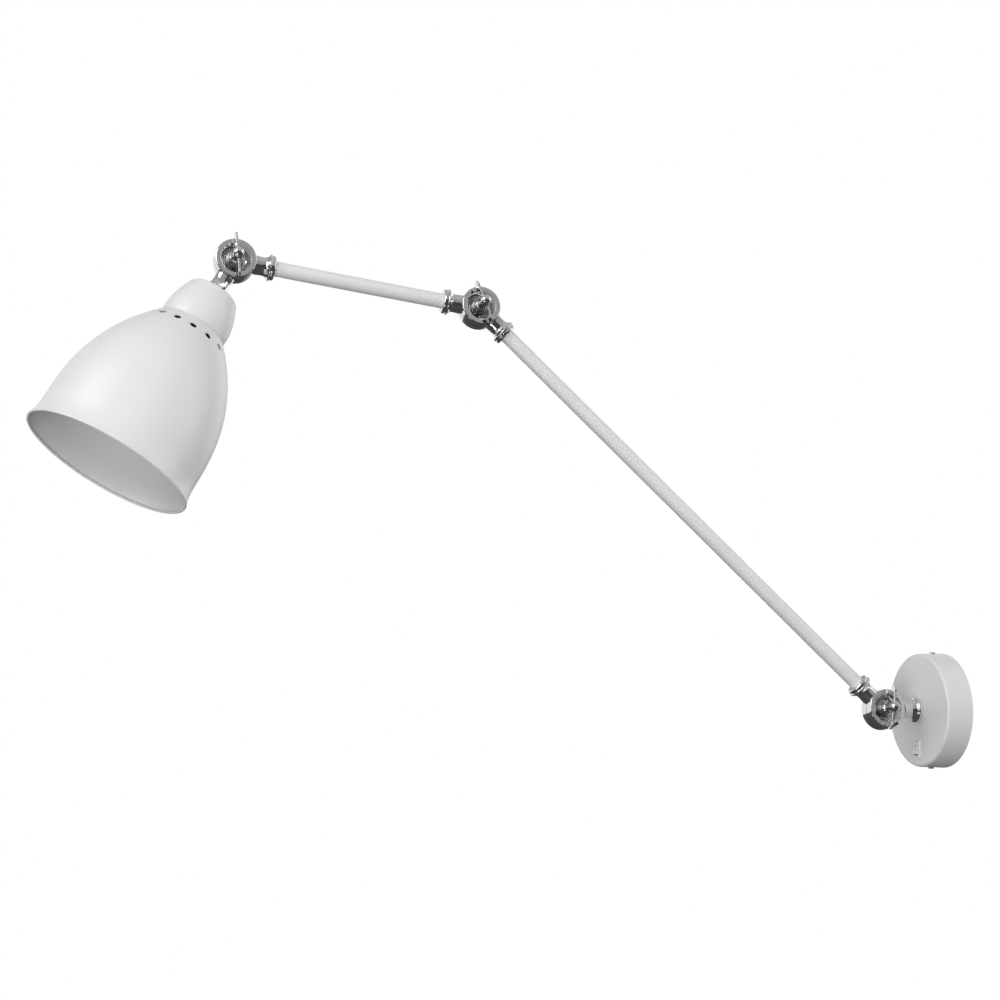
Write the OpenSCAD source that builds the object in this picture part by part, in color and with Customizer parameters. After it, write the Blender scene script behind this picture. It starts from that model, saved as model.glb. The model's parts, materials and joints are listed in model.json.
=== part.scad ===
// Swing arm wall sconce: a round canopy, two tubular arms on three friction
// knuckles, and a bell shade on a lampholder.
// The origin is on the wall, at the centre of the canopy's back. The canopy
// and its switch are turned together about that centre.
// +Z is up, the lamp reaches out along -Y, and every knuckle turns about X,
// with its wing nut on the +X side.

/* [Canopy] */
// Diameter of the canopy where it meets the wall
canopy_d = 100; // [90:1:140]
// Depth of the canopy, out from the wall
canopy_h = 24; // [22:1:36]
// Thickness of the canopy's sheet
canopy_wall = 1.4; // [1:0.1:2]
// How much smaller the canopy's radius is at its face
canopy_taper = 0.65; // [0:0.05:1.5]
// Radius of the rounded edge round the canopy's face
canopy_edge_r = 2.4; // [2:0.1:4]
// Height from the wall of the two side screws
side_screw_h = 10; // [8:0.5:13]
// How far the canopy is turned on the wall, seen from the front, against the arms
canopy_turn = -11; // [-40:1:40]
// Spacing of the two slots for the wall screws
wall_slot_spacing = 66; // [58:1:72]
// Length of each slot, from end to end
wall_slot_l = 12; // [8:1:14]
// Width of each slot
wall_slot_w = 4.5; // [3.5:0.5:5.5]
// Diameter of the hole for the cable from the wall
cable_hole_d = 16; // [10:1:18]

/* [Switch] */
// Length of the switch's bezel, up and down
switch_l = 15; // [13:0.5:18]
// Width of the switch's bezel
switch_w = 10.5; // [9:0.5:13]
// Distance of the switch below the canopy's centre
switch_drop = 33.4; // [31:0.1:34]
// How far the rocker leans to each side of its middle position
rocker_tilt = 8; // [5:0.5:9]

/* [Arms] */
// Distance from the wall to the lower hinge
stand_off = 58; // [56:1:90]
// Distance between the two hinges of the long arm
long_arm_l = 496; // [200:1:700]
// Distance between the two hinges of the short arm
short_arm_l = 212; // [120:1:400]
// Outer diameter of both tubes
tube_d = 12.6; // [12:0.1:15]
// Thickness of the tubes' walls
tube_wall = 1; // [0.8:0.1:1.5]
// How far each tube goes into its collar
tube_socket = 5; // [3:0.5:6]
// Rise of the long arm above level
long_arm_rise = 43.6; // [-60:0.1:80]
// Rise of the short arm above level
short_arm_rise = 6.4; // [-20:0.1:40]
// Rise of the head's axis above level
head_rise = -60.9; // [-80:0.1:-40]

/* [Knuckles] */
// Diameter of the knuckles' discs
knuckle_d = 34; // [30:0.5:40]
// Thickness of a knuckle, its two halves together
knuckle_t = 16.4; // [16:0.2:20]
// Gap between the two halves, which the friction ring fills
knuckle_gap = 0.6; // [0.5:0.1:1]
// Width of the flat rim on the knuckle's front
knuckle_rim = 4.2; // [2.5:0.1:5]
// Depth of the recess for the spring
recess_h = 4; // [3.5:0.1:4.5]
// Length of the neck, from the disc's edge to the end of its collar
neck_l = 16.3; // [15:0.1:24]
// Diameter of the neck at its narrowest
neck_d = 15.4; // [15:0.1:16]
// Diameter of the ring at the end of the neck
collar_d = 22.4; // [20:0.1:26]
// Diameter of the pivot bolt
pivot_d = 5; // [4:0.1:5.5]
// Radial clearance of the front half on the pivot bolt
pivot_clear = 0.05; // [0.02:0.01:0.1]
// Reach of each wing, from the bolt's axis
wing_reach = 19.5; // [16:0.1:22]
// Thickness of the wings
wing_t = 1.8; // [1.4:0.1:2.4]
// Lean of the lower wing nut from upright
lower_wing_lean = -11; // [-90:1:90]
// Lean of the elbow wing nut from upright
elbow_wing_lean = 20; // [-90:1:90]
// Lean of the head wing nut from upright
head_wing_lean = 5; // [-90:1:90]

/* [Shade] */
// Distance from the head's hinge to the top of the shade's cap
cap_start = 34; // [33.5:0.1:42]
// Length of the cap
cap_l = 37.5; // [34:0.5:50]
// Radius of the cap at its widest
cap_r = 28.7; // [27:0.1:34]
// Radius of the cap where its shoulder begins
cap_shoulder_r = 22; // [20:0.1:24]
// Radius of the flat on the cap's top
cap_flat_r = 16.5; // [13:0.5:18]
// Length of the bell, from the cap to its mouth
bell_l = 133.3; // [110:0.1:180]
// Radius of the bell where it starts, under the cap
bell_neck_r = 28; // [27:0.1:32]
// Radius of the bell at its widest, above its lip
bell_r = 67.3; // [55:0.1:85]
// How full the bell's curve is
bell_power = 2.42; // [1.8:0.02:3]
// How far the lip flares out past the bell
lip_flare = 2.7; // [1:0.1:5]
// Radius of the bead rolled round the mouth
lip_bead_r = 1.1; // [0.8:0.1:1.6]
// Thickness of the shade's sheet
shade_wall = 0.9; // [0.7:0.1:1.4]
// Number of vent holes round the bell
vents = 16; // [8:1:20]
// Diameter of a vent hole
vent_d = 6; // [3:0.1:7]
// Distance of the vent holes from the top of the bell
vent_drop = 9.9; // [8:0.1:14]

/* [Lampholder] */
// Radius inside the screw shell
shell_r = 13.2; // [12.9:0.1:13.5]
// Depth of the screw shell
shell_l = 20; // [16:0.5:22]
// Radius of the holder's threaded skirt
skirt_r = 19.5; // [18.5:0.5:21]
// Outer diameter of the hollow threaded rods
nipple_d = 10; // [9:0.1:10.5]
// Diameter of an internal lead
lead_d = 2.2; // [1.6:0.1:2.4]

/* [Hidden] */

$fn = 64;
thread_gap = 0.05;   // between a thread and its nut, or a tube and its socket
loose_gap = 0.2;     // between flat faces of pieces that turn on each other
cut = 1;             // how far a cut runs past the face it opens

// ---- Places of the three hinges ----
function reach(length, rise) = length * [0, -cos(rise), sin(rise)];
lower_axis = [0, -stand_off, 0];
elbow_axis = lower_axis + reach(long_arm_l, long_arm_rise);
head_axis = elbow_axis + reach(short_arm_l, short_arm_rise);

// ---- Knuckle sizes, measured from its middle plane or its axis ----
knuckle_r = knuckle_d / 2;
face_x = knuckle_t / 2;
seam_x = knuckle_gap / 2;
floor_x = face_x - recess_h;
front_floor_t = 1.4;
back_floor_t = 2.4;
knuckle_side_t = 2.9;   // round the hollow for the lead
cavity_r = knuckle_r - knuckle_side_t;
edge_r = 0.9;
recess_r = knuckle_r - knuckle_rim;
recess_slope_w = 4.4;
recess_floor_r = recess_r - recess_slope_w;
recess_edge_r = 0.5;   // rounding where the recess meets the rim
collar_end = knuckle_r + neck_l;
collar_r = collar_d / 2;
tube_r = tube_d / 2;
neck_r = neck_d / 2;
lead_r = lead_d / 2;
lead_gap = 0.15;        // between a lead and the middle plane it stays clear of
lead_x = seam_x + lead_gap + lead_r;
neck_bore_play = 0.55;  // round the two leads' places in a neck
neck_bore_r = lead_x + lead_r + neck_bore_play;
foot_r = 11;
nipple_r = nipple_d / 2;
nipple_wall = 1.6;
nipple_bore_r = nipple_r - nipple_wall;
nipple_grip = 7;     // length of thread inside a knuckle's foot

// ---- Canopy sizes ----
canopy_r = canopy_d / 2;
face_r = canopy_r - canopy_taper;
strap_t = 1.5;
strap_w = 22;
strap_past_slot = 3.5;
strap_reach = wall_slot_spacing / 2 + wall_slot_l / 2 + strap_past_slot;
flange_past_screw = 4;
earth_at = [7, -13];  // place of the earth screw on the strap
flange_gap = 0.6;    // between a flange's corners and the canopy's wall
flange_w = 14;
flange_y = sqrt(pow(canopy_r - canopy_taper - canopy_wall - flange_gap, 2)
    - pow(flange_w / 2, 2));
side_screw_r = 1.5;
earth_screw_r = 2;
washer_t = 0.6;
foot_end = stand_off - canopy_h - loose_gap - washer_t;
stop_ring_r = nipple_r + 3.8;
peg_ring = stop_ring_r + 3.2;   // distance of the stop peg from the swivel's axis
peg_r = 1.5;
bezel_t = 1.6;
bezel_lip = 0.9;     // how far the bezel lies over the canopy all round
switch_body_l = switch_l - 2 * bezel_lip;
switch_body_w = switch_w - 2 * bezel_lip;
switch_opening_l = switch_l - 2.8;
switch_opening_w = switch_w - 3.1;
switch_body_h = 12;
blade_h = 6;
blade_side = 3.2;    // distance of each blade from the switch's middle
rocker_pin_h = canopy_h - 2;
rocker_play = 0.7;   // at each end of the rocker
rocker_l = switch_opening_l - 2 * rocker_play;
rocker_pin_r = 0.8;

// ---- Head sizes, measured along the head's axis from its hinge ----
cap_end = cap_start + cap_l;
shade_seam = 0.5;    // between the cap and the bell
bell_start = cap_end + shade_seam;
bell_end = bell_start + bell_l - lip_bead_r;
belly = bell_start + bell_l * 0.81;
lip_start = bell_start + bell_l * 0.86;
cap_wide = cap_end - 7;
cap_shoulder = cap_start + 4;
nut_t = 4;
nut_side = 5;        // a nut's width across flats, more than its thread
nut_washer_t = 0.6;
holder_start = cap_start + shade_wall + nut_washer_t + nut_t + 2;
holder_cap_l = 15;
flange_at = bell_start - 2.6;
plate_at = bell_start + 0.4;
skirt_drop = 18;     // length of the holder's thread below the bell's top
skirt_end = bell_start + skirt_drop;
shell_start = skirt_end - shell_l - 1;
contact_room = 2;    // between the bottom of the holder's well and the screw shell

// ---- Helpers ----
function arc(c, r, from, to, n = 8) =
    [for (i = [0:n]) c + r * [cos(from + (to - from) * i / n),
                              sin(from + (to - from) * i / n)]];
module lathe(outline) rotate_extrude($fn = 96) polygon(outline);
module from_wall() rotate([90, 0, 0]) children();
module turned() rotate([0, 0, canopy_turn]) children();
function turned_point(p) = [p[0] * cos(canopy_turn) - p[1] * sin(canopy_turn),
                            p[0] * sin(canopy_turn) + p[1] * cos(canopy_turn), p[2]];
module on_axis() rotate([0, 90, 0]) children();
module along(rise) rotate([90 - rise, 0, 0]) children();
module at_lower() translate(lower_axis) children();
module at_elbow() translate(elbow_axis) children();
module at_head() translate(head_axis) children();
module stub_place() at_lower() along(180) children();
module head_place() at_head() along(head_rise) children();

module tube(r, bore_r, from, to) {
    translate([0, 0, from]) difference() {
        cylinder(r = r, h = to - from);
        translate([0, 0, -cut]) cylinder(r = bore_r, h = to - from + 2 * cut);
    }
}
module bore(r, from, to) translate([0, 0, from]) cylinder(r = r, h = to - from);
module block(size) translate([-size[0] / 2, -size[1] / 2, 0]) cube(size);
module capsule_hole(length, width, h) {
    for (side = [-1, 1])
        translate([0, side * (length - width) / 2, -cut])
            cylinder(d = width, h = h + 2 * cut);
    translate([-width / 2, -(length - width) / 2, -cut])
        cube([width, length - width, h + 2 * cut]);
}
module hex_nut(across, bore_r, h) difference() {
    cylinder(r = across / 2 / cos(30), h = h, $fn = 6);
    bore(bore_r, -cut, h + cut);
}

// ---- Knuckle halves: the neck runs along +Z, the hinge along X ----
module disc(half) {
    // A plain disc with a rounded outer edge; half is 1 for the front, -1 for the back.
    on_axis() mirror([0, 0, half < 0 ? 1 : 0]) lathe(concat(
        [[0, seam_x], [knuckle_r, seam_x]],
        arc([knuckle_r - edge_r, face_x - edge_r], edge_r, 0, 90),
        [[0, face_x]]));
}
module collar_neck() {
    waist = knuckle_r + neck_l * 0.4;
    flare = collar_end - 5;
    lathe(concat(
        [[0, cavity_r], [neck_r + 0.3, cavity_r], [neck_r + 0.3, knuckle_r],
         [neck_r, waist - 2], [neck_r, waist]],
        [for (i = [1:6]) [neck_r + (collar_r - 0.2 - neck_r) * pow(i / 6, 2.2),
                          waist + (flare - waist) * i / 6]],
        arc([collar_r - 0.7, flare + 0.7], 0.7, -30, 80, 5),
        [[collar_r - 1.3, flare + 1.6]],
        arc([collar_r - 2.6, collar_end - 1.7], 1.7, -5, 90, 6),
        [[0, collar_end]]));
}
module foot_neck(end) {
    waist = knuckle_r + neck_l * 0.4;
    foot_t = 4.2;
    lathe(concat(
        [[0, cavity_r], [neck_r + 0.3, cavity_r], [neck_r + 0.3, knuckle_r],
         [neck_r - 0.2, waist - 2], [neck_r - 0.2, waist]],
        [for (i = [1:5]) [neck_r - 0.2 + (foot_r - 1.4 - neck_r) * pow(i / 5, 2),
                          waist + (end - foot_t - waist) * i / 5]],
        arc([foot_r - 1.6, end - foot_t + 1.8], 1.6, -50, 0, 5),
        arc([foot_r - 1.2, end - 1.2], 1.2, 0, 90, 5),
        [[0, end]]));
}
module recess_cut() {
    // The cone's wall runs into the rim through a small rounding.
    slant = atan2(face_x - floor_x, recess_r - recess_floor_r);
    back_off = recess_edge_r * tan(slant / 2);
    lathe(concat(
        [[0, floor_x], [recess_floor_r, floor_x]],
        arc([recess_r + back_off, face_x - recess_edge_r], recess_edge_r, 90 + slant, 90, 5),
        [[recess_r + back_off, face_x + cut], [0, face_x + cut]]));
}
module front_half() difference() {
    union() {
        disc(1);
        children();
    }
    on_axis() {
        translate([0, 0, -face_x - cut - 5]) cylinder(r = knuckle_r + knuckle_gap,
            h = face_x + cut + 5 + seam_x);
        bore(cavity_r, seam_x - cut, floor_x - front_floor_t);
        bore(pivot_d / 2 + pivot_clear, 0, face_x + cut);
        recess_cut();
    }
    bore(neck_bore_r, cavity_r - cut, collar_end + cut);
}
module back_half() difference() {
    union() {
        disc(-1);
        children();
    }
    on_axis() {
        translate([0, 0, -seam_x]) cylinder(r = knuckle_r + knuckle_gap,
            h = face_x + cut + 5);
        translate([0, 0, -face_x + back_floor_t]) cylinder(r = cavity_r,
            h = face_x - back_floor_t + cut);
        translate([0, 0, -face_x - cut]) cylinder(r = pivot_d / 2 + thread_gap,
            h = face_x);
    }
    bore(neck_bore_r, cavity_r - cut, collar_end + cut);
}
module tube_socket_cut() bore(tube_r + thread_gap, collar_end - tube_socket, collar_end + cut);
module front_collar_half() difference() {
    front_half() collar_neck();
    tube_socket_cut();
}
module back_collar_half() difference() {
    back_half() collar_neck();
    tube_socket_cut();
}
module back_foot_half(end) difference() {
    back_half() foot_neck(end);
    bore(nipple_r + thread_gap, end - nipple_grip, end + cut);
    bore(neck_bore_r, cavity_r - cut, end + cut);
}

// ---- What holds a knuckle together, all on the hinge's axis ----
hub_start = face_x + 0.9;
hub_r = pivot_d / 2 + 2.3;
washer_r = hub_r + 1.9;
dome_x = face_x + 12;
spring_start = floor_x + loose_gap;
spring_end = face_x + 0.1;
spring_wire_r = 0.6;
module pivot_bolt() on_axis() {
    head_r = pivot_d + 0.4;
    difference() {
        translate([0, 0, -face_x]) mirror([0, 0, 1]) lathe(concat(
            [[0, 0], [head_r, 0], [head_r, 0.8]],
            arc([head_r - 2, 0.8], 2, 0, 90, 6), [[0, 3.2]]));
        translate([-head_r - cut, -0.6, -face_x - 4]) cube([2 * (head_r + cut), 1.2, 2.2]);
    }
    translate([0, 0, -face_x]) cylinder(d = pivot_d, h = face_x + dome_x - 2);
}
module friction_ring() on_axis()
    tube(knuckle_r - 0.4, cavity_r + 0.3, -seam_x, seam_x - knuckle_gap / 6);
module spring() {
    // A cone of two turns, wide on the recess's floor and narrow on the washer.
    wide_r = recess_floor_r - spring_wire_r - 0.5;
    narrow_r = washer_r - spring_wire_r;
    turns = 2;
    steps = 24;
    rings = turns * steps;
    rise = spring_end - spring_start - 2 * spring_wire_r;
    sweep([for (i = [0:rings])
        let (turn = 360 * i / steps, coil_r = wide_r + (narrow_r - wide_r) * i / rings)
        [spring_start + spring_wire_r + rise * i / rings, coil_r * sin(turn), coil_r * cos(turn)]],
        spring_wire_r);
}
module spring_washer() on_axis()
    tube(washer_r, pivot_d / 2 + thread_gap, spring_end + 0.02, hub_start);
module wing_outline() {
    // One wing in the plane of the axis: its root, its rounded tip, its back.
    tip = wing_reach - 3.6;
    polygon(concat(
        [[hub_r - 1, hub_start + 0.8], [hub_r + 2, hub_start + 0.8],
         [tip - 3, face_x + 3]],
        arc([tip, face_x + 7], 3.6, -50, 95, 9),
        [[tip - 3, face_x + 10.4], [hub_r - 1, dome_x - 1]]));
}
module wing_nut(lean) on_axis() rotate([0, 0, lean]) difference() {
    union() {
        lathe([[0, hub_start], [hub_r + 0.9, hub_start], [hub_r + 0.9, hub_start + 1.2],
               [hub_r, hub_start + 2.4], [hub_r - 0.5, dome_x], [0, dome_x]]);
        translate([0, 0, dome_x]) sphere(r = 4.6, $fn = 48);
        for (side = [0, 1]) mirror([side, 0, 0]) translate([0, wing_t / 2, 0])
            rotate([90, 0, 0]) linear_extrude(wing_t) wing_outline();
    }
    bore(pivot_d / 2 + thread_gap, hub_start - cut, dome_x - 1);
}

// ---- Internal leads: tubes swept along routes that stay across the X axis ----
loop_r = 7.4;
bend_r = 4;
bend_z = sqrt(loop_r * loop_r + 2 * bend_r * loop_r);
bend_turn = atan2(bend_z, bend_r);
loop_turn = 300;
lead_sides = 8;
module sweep(route, r) {
    // Each ring stands across the route, with one corner towards +X.
    last = len(route) - 1;
    rings = [for (i = [0:last])
        let (ahead = route[min(i + 1, last)] - route[max(i - 1, 0)],
             t = ahead / norm(ahead),
             side = [1, 0, 0] - t[0] * t,
             u = side / norm(side),
             v = cross(t, u))
        for (k = [0:lead_sides - 1])
            route[i] + r * (cos(360 * k / lead_sides) * u + sin(360 * k / lead_sides) * v)];
    walls = [for (i = [0:last - 1], k = [0:lead_sides - 1])
        let (a = i * lead_sides + k, b = i * lead_sides + (k + 1) % lead_sides)
        [b, a, a + lead_sides, b + lead_sides]];
    start = [for (k = [0:lead_sides - 1]) k];
    end = [for (k = [lead_sides - 1:-1:0]) last * lead_sides + k];
    polyhedron(rings, concat(walls, [start, end]));
}
// From a loose end round the bolt, through the bend, to the line of the neck.
function loop_route(side) = concat(
    [for (i = [0:15]) let (a = bend_turn - loop_turn * (1 - i / 15))
        [side * lead_x, loop_r * cos(a), loop_r * sin(a)]],
    [for (i = [1:4]) let (a = 180 + bend_turn * (1 - i / 4))
        [side * lead_x, bend_r + bend_r * cos(a), bend_z + bend_r * sin(a)]]);
function reversed(list) = [for (i = [len(list) - 1:-1:0]) list[i]];
function far_route(side, length) =
    [for (p = reversed(loop_route(side))) [p[0], p[1], length - p[2]]];
module arm_lead(length, far_side)
    sweep(concat(loop_route(1), far_route(far_side, length)), lead_r);
module end_lead(length) sweep(concat(loop_route(-1), [[-lead_x, 0, length]]), lead_r);

// ---- Wall mount ----
module wall_bracket() color("lightsteelblue") from_wall() difference() {
    union() {
        block([strap_w, 2 * strap_reach, strap_t]);
        turned() {
            block([flange_w, 2 * flange_y, strap_t]);
            for (side = [-1, 1]) translate([0, side * (flange_y - strap_t / 2), 0])
                block([flange_w, strap_t, side_screw_h + flange_past_screw]);
        }
    }
    bore(cable_hole_d / 2, -cut, strap_t + cut);
    for (side = [-1, 1]) translate([0, side * wall_slot_spacing / 2, 0])
        capsule_hole(wall_slot_l, wall_slot_w, strap_t);
    turned() translate([0, canopy_r, side_screw_h]) rotate([90, 0, 0])
        cylinder(r = side_screw_r + thread_gap, h = canopy_d);
    translate([earth_at[0], earth_at[1], -cut]) cylinder(r = earth_screw_r + thread_gap, h = strap_t + 2 * cut);
}
module canopy() color("white") from_wall() turned() difference() {
    lathe(concat(
        [[canopy_r - canopy_wall, 0], [canopy_r, 0]],
        arc([face_r - canopy_edge_r, canopy_h - canopy_edge_r], canopy_edge_r, 0, 90),
        [[0, canopy_h], [0, canopy_h - canopy_wall]],
        arc([face_r - canopy_edge_r, canopy_h - canopy_edge_r],
            canopy_edge_r - canopy_wall, 90, 0)));
    bore(nipple_r + 0.06, canopy_h - canopy_wall - cut, canopy_h + cut);
    translate([0, -switch_drop, canopy_h - canopy_wall - cut])
        block([switch_body_w + 0.2, switch_body_l + 0.2, canopy_wall + 2 * cut]);
    translate([0, canopy_r + cut, side_screw_h]) rotate([90, 0, 0])
        cylinder(r = side_screw_r + 0.2, h = canopy_d + 2 * cut);
}
module canopy_screws() color("silver") from_wall() turned()
    for (side = [0, 1]) mirror([0, side, 0])
        translate([0, canopy_r + 0.05, side_screw_h]) rotate([-90, 0, 0]) {
            head_r = 2.6;
            head_h = 0.9;
            head_edge_r = 0.6;
            slot_w = 0.7;
            difference() {
                lathe(concat([[0, 0], [head_r, 0], [head_r, head_h - head_edge_r]],
                    arc([head_r - head_edge_r, head_h - head_edge_r], head_edge_r, 0, 90, 5),
                    [[0, head_h]]));
                translate([-head_r - cut, -slot_w / 2, head_h / 2])
                    cube([2 * (head_r + cut), slot_w, head_h]);
            }
            mirror([0, 0, 1]) cylinder(r = side_screw_r, h = canopy_r - flange_y + 4);
        }
module earth_screw() color("gold") from_wall() translate([earth_at[0], earth_at[1], strap_t]) {
    difference() {
        cylinder(r = 3.6, h = 2.4);
        translate([-5, -0.5, 1.4]) cube([10, 1, 2]);
    }
    mirror([0, 0, 1]) cylinder(r = earth_screw_r, h = strap_t);
}
terminal_y = 18;
pole_pitch = 7;
terminal_depth = 12;
terminal_h = 10;
screw_from_edge = 3;
module terminal_block() color("ivory") from_wall() translate([0, terminal_y, strap_t]) difference() {
    block([3 * pole_pitch, terminal_depth, terminal_h]);
    for (pole = [-1:1]) {
        translate([pole * pole_pitch, 0, 4]) rotate([90, 0, 0])
            translate([0, 0, -terminal_depth / 2 - cut]) cylinder(r = 1.8, h = terminal_depth + 2 * cut);
        for (side = [-1, 1])
            translate([pole * pole_pitch, side * screw_from_edge, 4]) cylinder(r = 1.9, h = terminal_h);
    }
    for (gap = [-0.5, 0.5]) translate([gap * pole_pitch, 0, terminal_h - 3])
        block([0.8, terminal_depth + 2 * cut, 3 + cut]);
}
module terminal_screws() color("gold") from_wall() translate([0, terminal_y, strap_t])
    for (pole = [-1:1], side = [-1, 1])
        translate([pole * pole_pitch, side * screw_from_edge, 6]) difference() {
            cylinder(r = 1.7, h = 2.6);
            translate([-3, -0.3, 1.8]) cube([6, 0.6, 2]);
        }
module switch_place() from_wall() turned() translate([0, -switch_drop, 0]) children();
module switch_housing() color("ghostwhite") switch_place() difference() {
    union() {
        translate([0, 0, canopy_h]) block([switch_w, switch_l, bezel_t]);
        translate([0, 0, canopy_h - switch_body_h])
            block([switch_body_w, switch_body_l, switch_body_h]);
    }
    translate([0, 0, canopy_h - switch_body_h + 1.6])
        block([switch_opening_w, switch_opening_l, switch_body_h + bezel_t]);
    translate([-switch_w / 2 - cut, 0, rocker_pin_h]) on_axis()
        bore(rocker_pin_r + 0.05, 0, switch_w + 2 * cut);
}
module switch_rocker() color("white") switch_place() translate([0, 0, rocker_pin_h])
    rotate([-rocker_tilt, 0, 0]) {
        body_w = switch_opening_w - 0.4;
        translate([-body_w / 2, 0, 0]) rotate([90, 0, 90]) linear_extrude(body_w) polygon([
            [-rocker_l / 2 + 0.6, -1.4], [rocker_l / 2 - 0.6, -1.4], [rocker_l / 2, 4.4],
            [rocker_l / 4, 3.85], [0, 3.7], [-rocker_l / 4, 3.85], [-rocker_l / 2, 4.4]]);
        translate([-body_w / 2 - 0.5, 0, 0]) on_axis() cylinder(r = rocker_pin_r, h = body_w + 1);
    }
module switch_blades() color("gold") switch_place()
    for (side = [-1, 1]) translate([0, side * blade_side, canopy_h - switch_body_h - blade_h])
        difference() {
            block([3, 0.8, blade_h]);
            translate([0, cut + 1, 1.6]) rotate([90, 0, 0]) cylinder(r = 0.6, h = 2 + 2 * cut, $fn = 16);
        }
module canopy_leads() color("white") from_wall() {
    // From a switch blade round the strap's edge, and from the block to the swivel.
    blade_z = canopy_h - switch_body_h - blade_h;
    blade_y = blade_side - switch_drop;
    terminal_edge = terminal_y - terminal_depth / 2;
    lead_z = strap_t + 4;
    sweep([turned_point([0, blade_y - 1.6, blade_z - lead_r]),
           turned_point([-2.5, blade_y + 0.5, blade_z - lead_r]),
           [-13, blade_y + 5, lead_z], [-15, blade_y + 10, lead_z], [-14, -14, lead_z],
           [-13, -4, lead_z], [-11, 4, lead_z], [-8, terminal_edge - 4, lead_z],
           [-pole_pitch, terminal_edge - 1, lead_z], [-pole_pitch, terminal_edge + 2, lead_z]],
          lead_r);
    sweep([[pole_pitch, terminal_edge + 2, lead_z], [pole_pitch, terminal_edge - 1, lead_z],
           [6, terminal_edge - 5, lead_z], [4, 3, lead_z + 0.2], [2, 1, lead_z + 0.6]], lead_r);
}
module stop_peg() color("silver") from_wall()
    translate([0, peg_ring, canopy_h - canopy_wall - 3.6]) cylinder(r = peg_r, h = 3.6);

// ---- Swivelling base ----
module base_knuckle() color("gainsboro") stub_place() back_foot_half(foot_end);
nipple_end = stand_off - 9;
plate_back = stand_off - canopy_h + canopy_wall;
ring_start = plate_back + loose_gap;
module base_nipple() color("tan") stub_place()
    tube(nipple_r, nipple_bore_r, foot_end - nipple_grip, nipple_end);
module foot_washer() color("whitesmoke") stub_place()
    tube(foot_r - 1, nipple_r + thread_gap, foot_end, foot_end + washer_t);
module stop_ring() color("silver") stub_place() {
    tube(stop_ring_r, nipple_r + thread_gap, ring_start, ring_start + 1);
    // At rest the tab lies opposite the stop peg.
    translate([-peg_r, stop_ring_r - 0.8, ring_start])
        cube([2 * peg_r, peg_ring + peg_r - stop_ring_r + 0.8, 1]);
}
module base_nut() color("gold") stub_place() translate([0, 0, ring_start + 1])
    hex_nut(nipple_d + nut_side + 2, nipple_r + thread_gap, nut_t);
module base_lead() color("dimgray") stub_place() end_lead(nipple_end + 1.2);

// ---- Lower knuckle's hardware ----
module lower_pivot_bolt() color("silver") at_lower() pivot_bolt();
module lower_friction_ring() color("darkslategray") at_lower() friction_ring();
module lower_spring() color("silver") at_lower() spring();
module lower_spring_washer() color("silver") at_lower() spring_washer();
module lower_wing_nut() color("gainsboro") at_lower() wing_nut(lower_wing_lean);

// ---- Long arm ----
module long_arm_lower_knuckle() color("gainsboro")
    at_lower() along(long_arm_rise) front_collar_half();
module long_tube() color("white") at_lower() along(long_arm_rise)
    tube(tube_r, tube_r - tube_wall, collar_end - tube_socket,
         long_arm_l - collar_end + tube_socket);
module long_arm_upper_knuckle() color("gainsboro")
    at_elbow() along(long_arm_rise + 180) back_collar_half();
module long_arm_lead() color("dimgray")
    at_lower() along(long_arm_rise) arm_lead(long_arm_l, -1);

// ---- Elbow knuckle's hardware ----
module elbow_pivot_bolt() color("silver") at_elbow() pivot_bolt();
module elbow_friction_ring() color("darkslategray") at_elbow() friction_ring();
module elbow_spring() color("silver") at_elbow() spring();
module elbow_spring_washer() color("silver") at_elbow() spring_washer();
module elbow_wing_nut() color("gainsboro") at_elbow() wing_nut(elbow_wing_lean);

// ---- Short arm ----
module short_arm_inner_knuckle() color("gainsboro")
    at_elbow() along(short_arm_rise) front_collar_half();
module short_tube() color("white") at_elbow() along(short_arm_rise)
    tube(tube_r, tube_r - tube_wall, collar_end - tube_socket,
         short_arm_l - collar_end + tube_socket);
module short_arm_outer_knuckle() color("gainsboro")
    at_head() along(short_arm_rise + 180) front_collar_half();
module short_arm_lead() color("dimgray")
    at_elbow() along(short_arm_rise) arm_lead(short_arm_l, 1);

// ---- Head knuckle's hardware ----
module head_knuckle() color("gainsboro") head_place() back_foot_half(cap_start);
module head_pivot_bolt() color("silver") at_head() pivot_bolt();
module head_friction_ring() color("darkslategray") at_head() friction_ring();
module head_spring() color("silver") at_head() spring();
module head_spring_washer() color("silver") at_head() spring_washer();
module head_wing_nut() color("gainsboro") at_head() wing_nut(head_wing_lean);

// ---- Shade: outlines are radius against distance along the head's axis ----
function cap_outline_r(z) = z < cap_wide
    ? cap_r - (cap_r - cap_shoulder_r) * pow((cap_wide - z) / (cap_wide - cap_shoulder), 2)
    : cap_r - 0.5 * pow((z - cap_wide) / (cap_end - cap_wide), 2);
function cap_line(inset) = concat(
    [[nipple_r + thread_gap, cap_start + inset], [cap_flat_r, cap_start + inset]],
    [for (i = [1:4]) let (a = 90 * i / 5)
        [cap_flat_r + (cap_shoulder_r - inset - cap_flat_r) * sin(a),
         cap_start + inset + (cap_shoulder - cap_start - inset) * (1 - cos(a))]],
    [for (i = [0:10]) let (z = cap_shoulder + (cap_end - cap_shoulder) * i / 10)
        [cap_outline_r(z) - inset, z]]);
module shade_cap() color("white") head_place()
    lathe(concat(cap_line(0), reversed(cap_line(shade_wall))));

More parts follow.
